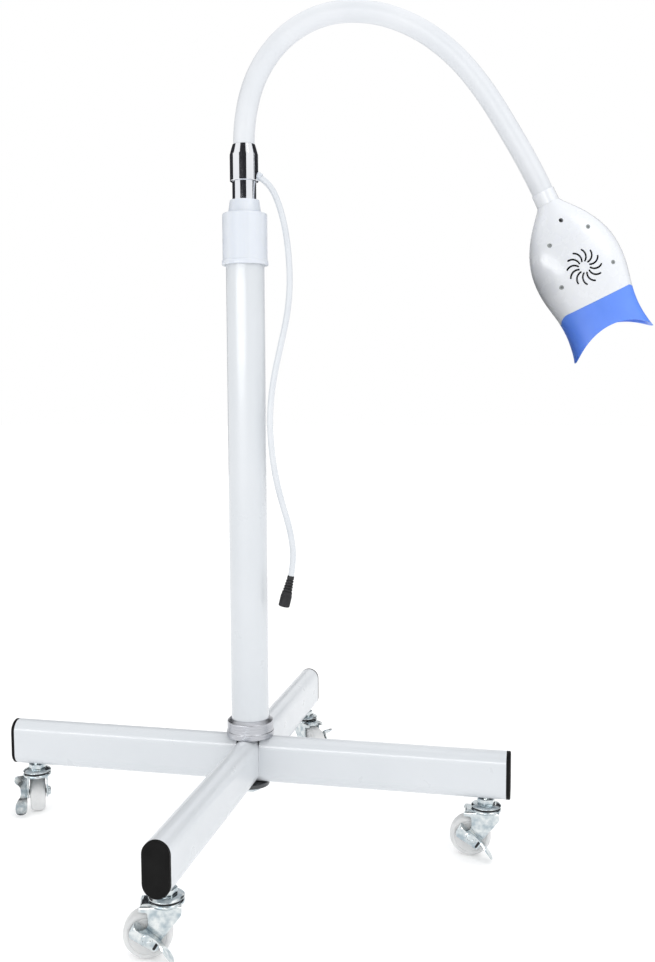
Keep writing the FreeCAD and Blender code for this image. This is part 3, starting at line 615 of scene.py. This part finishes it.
# ---------------------------------------------------------------- the neck: one smooth sleeve

NECK_RADIUS = 11
NECK_SPAN_STEPS = 24
NECK_ROUND_STEPS = 56
SOCKET_DEPTH = 13.8 * MM
COLLAR_DEPTH = 11.2 * MM


def neck_line():
    """The sleeve's centre line: smooth curves between the middles of the runs from bend to bend."""
    bends = [Vector(joint["pos_m"]) for joint in NECK_JOINTS if "bend" in joint["name"]]
    start = Vector((0, 0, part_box("neck_socket")[1][2] - SOCKET_DEPTH))
    end = HEAD @ Vector((0, 0, COLLAR_DEPTH))
    middles = [(a + b) / 2 for a, b in zip(bends, bends[1:])]
    first = bends[0] + (start - bends[0]).normalized() * (bends[1] - bends[0]).length / 2
    last = bends[-1] + (end - bends[-1]).normalized() * (bends[-1] - bends[-2]).length / 2
    points = [start]
    for enter, corner, leave in zip([first, *middles], bends, [*middles, last]):
        for step in range(NECK_SPAN_STEPS):
            t = step / NECK_SPAN_STEPS
            points.append(enter * (1 - t) ** 2 + corner * 2 * t * (1 - t) + leave * t**2)
    if (end - last).length > MM:
        points.append(last)
    points.append(end)
    return points


def cut_points(line):
    """Where the sleeve is divided: nearest to the middle of each link, so that a piece crosses one hinge."""
    hinges = [Vector(joint["pos_m"]) for joint in NECK_JOINTS]
    cuts = [0]
    for before, after in zip(hinges, hinges[1:]):
        middle = (before + after) / 2
        cuts.append(min(range(len(line)), key=lambda index: (line[index] - middle).length))
    return cuts + [len(line) - 1]


def make_neck():
    line = neck_line()
    cuts = cut_points(line)
    rings = []
    for index, point in enumerate(line):
        along = (line[min(index + 1, len(line) - 1)] - line[max(index - 1, 0)]).normalized()
        across = along.cross(ARM_NORMAL).normalized()
        ring = []
        for step in range(NECK_ROUND_STEPS):
            angle = 2 * math.pi * step / NECK_ROUND_STEPS
            outward = across * math.cos(angle) + ARM_NORMAL * math.sin(angle)
            ring.append(point + outward * NECK_RADIUS * MM)
        rings.append(ring)
    links = sorted(node for node in frame["nodes"] if node.startswith("neck_link_"))
    for number, joint in enumerate(NECK_JOINTS):
        bm = bmesh.new()
        rows = [
            [bm.verts.new(spot / MM) for spot in ring] for ring in rings[cuts[number] : cuts[number + 1] + 1]
        ]
        for row, following in zip(rows, rows[1:]):
            for step in range(NECK_ROUND_STEPS):
                other = (step + 1) % NECK_ROUND_STEPS
                bm.faces.new((row[step], row[other], following[other], following[step]))
        stands_for = [links[number]] if number else links[:1]
        if number == len(NECK_JOINTS) - 1:
            stands_for.append(links[-1])
        sleeve = add_piece(f"neck_sleeve_{number + 1:02d}", bm, "neck_cover", None, replaces=stands_for)
        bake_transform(sleeve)


make_neck()


# ---------------------------------------------------------------- collar and lock sleeve


COLLAR_BORE = 20.05
COLLAR_STEP = 0.7
FLANGE_HEIGHT = 5.6
COLLAR_SHOULDER = 16.4
SLEEVE_BORE = 20.35
SLEEVE_STEP = 0.85
SLEEVE_RIM_HEIGHT = 4.4
SLEEVE_SEAT_DEPTH = 6.1


def make_collar():
    """The collar at the column's foot: a flange, and above it a ring that tapers to the column."""
    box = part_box("foot_collar")
    low, high = box[0][2] / MM, box[1][2] / MM
    flange = box[1][0] / MM
    ring = flange - COLLAR_STEP
    turned_piece(
        "turned_foot_collar",
        [
            (COLLAR_BORE, low),
            (flange, low),
            (flange, low + FLANGE_HEIGHT),
            (ring, low + FLANGE_HEIGHT + COLLAR_STEP),
            (ring, low + COLLAR_SHOULDER),
            (COLLAR_BORE + COLLAR_STEP, high),
            (COLLAR_BORE, high),
        ],
        "spun_aluminium",
        "base",
        replaces=["foot_collar"],
        rounding=0.7,
    )


def make_sleeve():
    """The lock sleeve: a rim round its foot, and a conical seat inside its top for the bush."""
    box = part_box("lock_sleeve")
    low, high = box[0][2] / MM, box[1][2] / MM
    rim = box[1][0] / MM
    wall = rim - SLEEVE_STEP
    seat = high - SLEEVE_SEAT_DEPTH
    turned_piece(
        "moulded_lock_sleeve",
        [
            (SLEEVE_BORE, low),
            (rim - 0.1, low),
            (rim, low + 0.8),
            (rim, low + SLEEVE_RIM_HEIGHT),
            (wall, low + SLEEVE_RIM_HEIGHT + 0.7),
            (wall, high - 1),
            (rim - 1.6, high),
            (17.6, high),
            (18.8, seat),
            (SLEEVE_BORE, seat),
        ],
        "white_plastic",
        "lock_sleeve",
        replaces=["lock_sleeve"],
        rounding=0.6,
    )


make_collar()
make_sleeve()


# ---------------------------------------------------------------- head screws

# Each screw: how far along the head, to which side, and how far out from the middle plane.
HEAD_SCREWS = ((35, 0, 12.5), (53, -21.6, 18.6), (53, 21.6, 18.6), (96.5, -29, 20.3), (96.5, 29, 20.3))
SCREW_RADIUS = 2.4
SCREW_CAP = 0.9
RECESS_REACH = 1.1
RECESS_HALF = 0.25


def head_screw(bm, along, side, depth):
    """A pan-head screw with a cross recess, on a short shank."""
    facing = frame_at((side, -depth, along), (0, -1, 0), (0, 0, 1))
    cross = [
        (RECESS_HALF, RECESS_REACH),
        (RECESS_HALF, RECESS_HALF),
        (RECESS_REACH, RECESS_HALF),
        (RECESS_REACH, -RECESS_HALF),
        (RECESS_HALF, -RECESS_HALF),
        (RECESS_HALF, -RECESS_REACH),
    ]
    cross += [(-x, -y) for x, y in cross]
    sunk = Matrix.Translation((0, 0, -SCREW_CAP / 2))
    stamp(bm, [circle(SCREW_RADIUS), cross], SCREW_CAP, facing @ sunk, edge=0.2)
    lathe(bm, [(0, -0.8), (2.05, -0.8), (2.05, -1.6), (1.15, -1.6), (1.15, -11.5), (0, -12)], facing, 24)


def make_head_screws():
    """The screw near the neck lies deep in its well and is given the dark steel finish; the others are level
    with the shell.
    """
    bm = bmesh.new()
    head_screw(bm, *HEAD_SCREWS[0])
    add_piece("neck_end_screw", bm, "dark_steel", "head", HEAD)
    bm = bmesh.new()
    for screw in HEAD_SCREWS[1:]:
        head_screw(bm, *screw)
    add_piece("shell_screws", bm, "dull_steel", "head", HEAD, ["head_screws"])


make_head_screws()


# ---------------------------------------------------------------- castors

CROWN_TOP = 50
CROWN_RADIUS = 15.5
NUT_RADIUS = 9.6
NUT_HEIGHT = 5.8
NUT_MIDDLE = 57.0
NUT_TURN = math.radians(20)
FORK_SHEET = 1.8
FORK_HALF = 11.4
FORK_SHOULDER = 4.5
FORK_FOLD_STEPS = 8
FORK_TOP = CROWN_TOP - 0.5
AXLE_RADIUS = 3
AXLE_HEAD_RADIUS = 5
WHEEL_RADIUS = 21
WHEEL_HALF = 8.75
LEVER_SHEET = 1.2
LEVER_DROP = math.radians(-33)
# The axle in the castor's own frame, with +Z towards the brake.
AXLE = frame_at((AXLE_TRAIL, 0, AXLE_HEIGHT), (0, 1, 0), (0, 0, 1))


def make_stems():
    """Domed raceways with a nut above, one set per castor, all in one piece as in the CAD model."""
    metal = bmesh.new()
    grease_and_shade = bmesh.new()
    dome = [(4, 51.6), (14.6, 51.6), (15.5, 51.9), (15.4, 52.5), (13.6, 53.5), (10.6, 54.3), (4, 54.4)]
    stem = [(0, 45), (6.4, 45), (6.5, 46), (4, 46.3), (4, 60), (4.9, 60), (4.9, 83), (4.3, 84), (0, 84)]
    for name in CASTORS:
        swivel = point_of(f"{name}_swivel") / MM
        place = Matrix.Translation((swivel.x, swivel.y, 0))
        lathe(metal, rounded(dome, 0.5), place, 96)
        nut = place @ Matrix.Translation((0, 0, NUT_MIDDLE)) @ Matrix.Rotation(NUT_TURN, 4, "Z")
        hexagon = rounded(circle(NUT_RADIUS, 6), 1.0, closed=True)
        stamp(metal, [hexagon, circle(5, 32)], NUT_HEIGHT, nut, edge=0.7)
        lathe(metal, stem, place, 32)
        # A black ring in the gap under each dome: partly the race's grease, partly painted shade for the dark
        # gap between dome and crown.
        lathe(grease_and_shade, rounded([(4.2, 50.1), (14.6, 50.1), (14.6, 51.5), (4.2, 51.5)], 0.3), place, 72)
    add_piece("castor_raceways", metal, "zinc_steel", "base", replaces=["castor_stems"], sharp=28)
    add_piece("castor_grease_and_shade_rings", grease_and_shade, "black_rubber", "base")


def fork_outline():
    """The fork from its side: shoulder, the lug above the wheel, and the leg that narrows to the axle."""
    lug = [
        (20, FORK_TOP),
        (22.6, CROWN_TOP - 3),
        (23, CROWN_TOP - 6),
        (15.4, CROWN_TOP - 7),
        (14.8, 32),
    ]
    toe = [
        (AXLE_TRAIL + 6.2, AXLE_HEIGHT + 2),
        (AXLE_TRAIL + 3.5, AXLE_HEIGHT - 6),
        (AXLE_TRAIL - 5, AXLE_HEIGHT - 6),
        (5, AXLE_HEIGHT - 3),
        (-0.5, 24.5),
    ]
    return rounded([(-13, FORK_TOP), *lug, *toe, (-13, 40)], 2.2, closed=True)


def prism(outline, half_depth):
    """A closed bar along Y with an outline in the XZ plane."""
    bm = bmesh.new()
    near, far = ([bm.verts.new((x, y, z)) for x, z in outline] for y in (-half_depth, half_depth))
    bm.faces.new(near)
    bm.faces.new(list(reversed(far)))
    for index in range(len(outline)):
        other = (index + 1) % len(outline)
        bm.faces.new((near[index], far[index], far[other], near[other]))
    bmesh.ops.recalc_face_normals(bm, faces=bm.faces)
    return bm


def common(bm, tool):
    """What two closed bmeshes have in common, as a new one."""
    things = []
    for source in (bm, tool):
        mesh = bpy.data.meshes.new("common")
        source.to_mesh(mesh)
        source.free()
        thing = bpy.data.objects.new("common", mesh)
        SCENE.collection.objects.link(thing)
        things.append(thing)
    step = things[0].modifiers.new("common", "BOOLEAN")
    step.operation = "INTERSECT"
    step.object = things[1]
    step.solver = "EXACT"
    result = bmesh.new()
    result.from_object(things[0], bpy.context.evaluated_depsgraph_get())
    for thing in things:
        mesh = thing.data
        bpy.data.objects.remove(thing)
        bpy.data.meshes.remove(mesh)
    return result


def channel(start, end, low):
    """The fork's sheet, folded over the X axis: two upright sides that roll over into a flat top."""
    side = [(FORK_HALF, low), (FORK_HALF, FORK_TOP - FORK_SHOULDER)]
    for step in range(1, FORK_FOLD_STEPS):
        angle = math.pi / 2 * step / FORK_FOLD_STEPS
        inward = FORK_SHOULDER * (1 - math.cos(angle))
        down = FORK_SHOULDER * (1 - math.sin(angle))
        side.append((FORK_HALF - inward, FORK_TOP - down))
    outer = side + [(-y, z) for y, z in reversed(side)]
    inset = (FORK_HALF - FORK_SHEET) / FORK_HALF
    inner = [(y * inset, z - FORK_SHEET * max(z - low, 0) / (FORK_TOP - low)) for y, z in outer]
    bm = bmesh.new()
    ends = [[bm.verts.new((x, y, z)) for y, z in outer + inner[::-1]] for x in (start, end)]
    count = len(ends[0])
    for index in range(count):
        other = (index + 1) % count
        bm.faces.new((ends[0][index], ends[0][other], ends[1][other], ends[1][index]))
    for rim in ends:
        for index in range(len(outer) - 1):
            bm.faces.new((rim[index], rim[index + 1], rim[count - 2 - index], rim[count - 1 - index]))
    bmesh.ops.recalc_face_normals(bm, faces=bm.faces)
    return bm


def make_fork_sheet(name, place):
    """A pressed fork: a folded sheet cut to the fork's outline, with a round crown under the raceway."""
    bm = common(channel(-14, 26, 8), prism(fork_outline(), 20))
    crown = [
        (4.1, 46.2),
        (CROWN_RADIUS - 1, 46.2),
        (CROWN_RADIUS, 47.2),
        (CROWN_RADIUS, 48.8),
        (CROWN_RADIUS - 1.4, CROWN_TOP),
        (4.1, CROWN_TOP),
    ]
    lathe(bm, rounded(crown, 0.8, closed=True), closed=True, segments=96)
    fork = f"{name}_castor_fork"
    add_piece(f"{name}_fork_sheet", bm, "zinc_steel", f"{name}_fork", place, [fork], sharp=40)


def make_axle(name, place):
    """The axle bolt, with a domed head on one side and a slotted round nut on the other."""
    bm = bmesh.new()
    head = [(0, -14.9), (2.4, -14.8), (4.2, -14.2), (AXLE_HEAD_RADIUS, -13), (AXLE_HEAD_RADIUS, -11.5)]
    shank = [(AXLE_RADIUS, -11.5), (AXLE_RADIUS, 16), (0, 16)]
    lathe(bm, rounded(head + shank, 0.3), AXLE, 48)
    nut = AXLE @ Matrix.Translation((0, 0, 14.8))
    stamp(bm, [circle(4.9), slot_outline(0, 0, 6.4, 1.3)], 2.6, nut, edge=0.45)
    lathe(bm, [(0, -1.2), (4.4, -1.2), (4.4, 0.2), (0, 0.2)], nut, 32)
    add_piece(f"{name}_axle_bolt", bm, "zinc_steel", f"{name}_fork", place)


def make_wheel(name, place):
    """A moulded wheel: a crowned tread with soft shoulders, flat sides with a shallow groove, and a hub."""
    hub = [(3.08, WHEEL_HALF + 0.25), (6.6, WHEEL_HALF + 0.25)]
    web = [(7.4, WHEEL_HALF - 0.5), (15.0, WHEEL_HALF - 0.5), (15.6, WHEEL_HALF - 0.9)]
    tread = [(16.4, WHEEL_HALF - 0.3), (18.6, WHEEL_HALF - 0.7), (20.4, WHEEL_HALF - 2.4)]
    side = [*hub, *web, *tread, (WHEEL_RADIUS, WHEEL_HALF - 5)]
    profile = side + [(r, -h) for r, h in reversed(side)]
    bm = bmesh.new()
    lathe(bm, rounded(profile, 1.1, closed=True, steps=4), AXLE, 120, closed=True)
    wheel = f"{name}_castor_wheel"
    add_piece(f"{name}_wheel_moulding", bm, "nylon_wheel", f"{name}_wheel", place, [wheel])


def ribbon(bm, stations, thickness, place):
    """A bent sheet, edge-on in the XY plane: stations of (x, y, and its reach from low to high Z)."""
    rows = []
    for index, (x, y, low, high) in enumerate(stations):
        before = stations[max(index - 1, 0)]
        after = stations[min(index + 1, len(stations) - 1)]
        along = Vector((after[0] - before[0], after[1] - before[1], 0)).normalized()
        across = Vector((-along.y, along.x, 0)) * thickness / 2
        corners = ((1, low), (1, high), (-1, high), (-1, low))
        rows.append([bm.verts.new(place @ (Vector((x, y, z)) + across * side)) for side, z in corners])
    for row, following in zip(rows, rows[1:]):
        for index in range(4):
            other = (index + 1) % 4
            bm.faces.new((row[index], row[other], following[other], following[index]))
    bm.faces.new(rows[0])
    bm.faces.new(rows[-1][::-1])


def make_lever(name, place):
    """A pressed brake lever: a side plate, and a ledge folded out of it that widens into ear and pedal."""
    near = FORK_HALF + 0.4
    far = near + LEVER_SHEET
    lay = AXLE @ Matrix.Rotation(LEVER_DROP, 4, "Z")
    middle = lay @ Matrix.Translation((0, 0, near + LEVER_SHEET / 2))
    bm = bmesh.new()
    side = [(-16, -3), (-13, -6.5), (10.5, -6.5), (12.5, -4.5), (12.4, 4), (-16.8, 8)]
    shaded_slot = slot_outline(9.4, -1.4, 2.3, 7.8)
    openings = [circle(3.06, 32), circle(1.1, 16, -12.6, 4.6), shaded_slot]
    stamp(bm, [rounded(side, 1.4, closed=True), *openings], LEVER_SHEET, middle, edge=0.25)
    collar = [(3.1, far), (3.1, far + 0.55), (5.2, far + 0.55), (6.4, far)]
    lathe(bm, rounded(collar, 0.3), lay, 40)
    # along and across the lever, where the ledge starts and how far out it reaches
    ledge = (
        (-17.2, 8.3, 3.5, 9.5),
        (-16.4, 8.2, 0.8, 12.6),
        (-14.6, 7.9, 0, 13.8),
        (-11, 7.4, 0, 14),
        (-8, 7.0, 0, 12.6),
        (-5, 6.6, 0, 9.4),
        (-2, 6.1, 0, 7.4),
        (6, 5.0, 0, 7),
        (10, 4.3, 0, 8),
        (13, 3.4, 0, 10.4),
        (17, 1.8, 0, 12.6),
        (22, -0.2, 0, 13),
        (25, -1.5, 0.4, 12.6),
        (27, -2.4, 1.8, 11.2),
        (28, -3.0, 4.4, 8.6),
    )
    stations = [(x, y, near + low, near + high) for x, y, low, high in ledge]
    ribbon(bm, stations, LEVER_SHEET, lay)
    brake = f"{name}_castor_brake"
    add_piece(f"{name}_brake_lever", bm, "zinc_steel", f"{name}_brake", place, [brake], sharp=40)
    # A black plate set in the lever's slot: painted shadow, standing for the dark seen through the slot.
    bm = bmesh.new()
    stamp(bm, [shaded_slot], 0.8, middle, edge=0.2)
    add_piece(f"{name}_lever_slot_shade", bm, "black_rubber", f"{name}_brake", place)


def make_castors():
    make_stems()
    for name in CASTORS:
        place = castor_place(name)
        make_fork_sheet(name, place)
        make_axle(name, place)
        make_wheel(name, place)
        make_lever(name, place)


make_castors()


# ---------------------------------------------------------------- floor and light


FLOOR_HALF = 14
FLOOR_SINK = 0.0004
FLAG_REACH = 3.0
FLAG_STEPS = 8
CARD_CENTER = 0.12
CARD_START = -75
CARD_STEP = 11
CARD_STEPS = 12
CARD_RADIUS = 0.17
CARD_GAP = 0.003
CARD_HEIGHTS = (0.40, 0.60)


def stage_sheet(name, rows, colour):
    """A matt sheet of the studio, not of the lamp: a strip through rows of two points each."""
    bm = bmesh.new()
    edges = [[bm.verts.new(point) for point in row] for row in rows]
    for row, following in zip(edges, edges[1:]):
        bm.faces.new((row[0], following[0], following[1], row[1]))
    mesh = bpy.data.meshes.new(name)
    bm.to_mesh(mesh)
    bm.free()
    sheet = bpy.data.objects.new(name, mesh)
    SCENE.collection.objects.link(sheet)
    paper = bpy.data.materials.new(name)
    paper.use_nodes = True
    shader = paper.node_tree.nodes["Principled BSDF"]
    shader.inputs["Base Color"].default_value = (*colour, 1)
    shader.inputs["Roughness"].default_value = 1.0
    mesh.materials.append(paper)
    return sheet


def make_floor():
    """A white floor a hair below the wheels, lit a little from within so that no horizon shows."""
    rows = [[(x, y, -FLOOR_SINK) for y in (-FLOOR_HALF, FLOOR_HALF)] for x in (-FLOOR_HALF, FLOOR_HALF)]
    floor = stage_sheet("floor", rows, (0.93, 0.93, 0.93))
    shader = floor.active_material.node_tree.nodes["Principled BSDF"]
    shader.inputs["Specular IOR Level"].default_value = 0.0
    shader.inputs["Emission Color"].default_value = (1, 1, 1, 1)
    shader.inputs["Emission Strength"].default_value = 0.16


def dark_flag(name, start, end, reach=FLAG_REACH, low=0.9, high=2.9):
    """A dark curved card that only reflections see, between two azimuths measured from the camera's."""
    middle = SCENE.camera.matrix_world.translation
    facing = math.atan2(middle.y, middle.x)
    rows = []
    for step in range(FLAG_STEPS + 1):
        angle = facing + math.radians(start + (end - start) * step / FLAG_STEPS)
        x, y = reach * math.cos(angle), reach * math.sin(angle)
        rows.append([(x, y, low), (x, y, high)])
    flag = stage_sheet(name, rows, (0.012, 0.012, 0.016))
    flag.visible_camera = False
    flag.visible_diffuse = False
    flag.visible_transmission = False
    flag.visible_shadow = False


def head_card(name, radius, colour):
    """A plain curved card that stands by the head's left side, out of the camera's sight."""
    center = HEAD @ Vector((0, 0, CARD_CENTER))
    center.z = 0
    rows = []
    for step in range(CARD_STEPS + 1):
        angle = math.radians(CARD_START + CARD_STEP * step)
        spot = center - (ARM_FORWARD * math.cos(angle) + ARM_NORMAL * math.sin(angle)) * radius
        rows.append([spot + UP * height for height in CARD_HEIGHTS])
    card = stage_sheet(name, rows, colour)
    card.visible_camera = False


def area_light(name, place, target, size, power):
    """A soft round light at a place, turned to a target; sizes in metres and power in watts."""
    data = bpy.data.lights.new(name, "AREA")
    data.shape = "ELLIPSE"
    data.size, data.size_y = size
    data.energy = power
    light = bpy.data.objects.new(name, data)
    light.location = place
    light.rotation_euler = (Vector(target) - Vector(place)).to_track_quat("-Z", "Y").to_euler()
    SCENE.collection.objects.link(light)
    return light


def make_light():
    """A white studio: three soft lights, and one more that only draws the gloss along the tubes' edges."""
    world = bpy.data.worlds.new("studio")
    world.use_nodes = True
    sky = world.node_tree.nodes["Background"]
    sky.inputs["Color"].default_value = (1.0, 1.0, 1.0, 1)
    sky.inputs["Strength"].default_value = 1.0
    SCENE.world = world
    SCENE.view_settings.view_transform = "Standard"
    area_light("key", (2.2, -1.6, 2.2), (0.1, 0, 0.5), (1.6, 1.6), 14)
    area_light("top", (0.2, 0.2, 3.0), (0, 0, 0.3), (2.2, 2.2), 6)
    area_light("low_strip", (-0.7, -2.4, 0.78), (-0.05, 0, 0.1), (2.6, 0.25), 4.5)
    gloss = area_light("edge_gloss", (-0.7, -2.4, 0.77), (-0.7, 0, 0.77), (3.0, 0.6), 26)
    gloss.visible_diffuse = False


def make_cards():
    """Dark cards for the chrome to reflect, and one at the head, dark inside and white outside."""
    dark_flag("flag_middle", -41, 17)
    dark_flag("flag_taper", -41, 17, reach=1.0, low=1.45, high=2.3)
    dark_flag("flag_left", -160, -100)
    dark_flag("flag_right", 81, 150)
    dark_flag("flag_back_right", 118, 148, reach=1.2, low=0.3, high=1.4)
    dark_flag("flag_back", 172, 214, reach=1.2, low=0.3, high=1.4)
    head_card("head_card_inside", CARD_RADIUS, (0.01, 0.01, 0.012))
    head_card("head_card_outside", CARD_RADIUS + CARD_GAP, (0.93, 0.93, 0.93))


make_floor()
make_light()
make_cards()
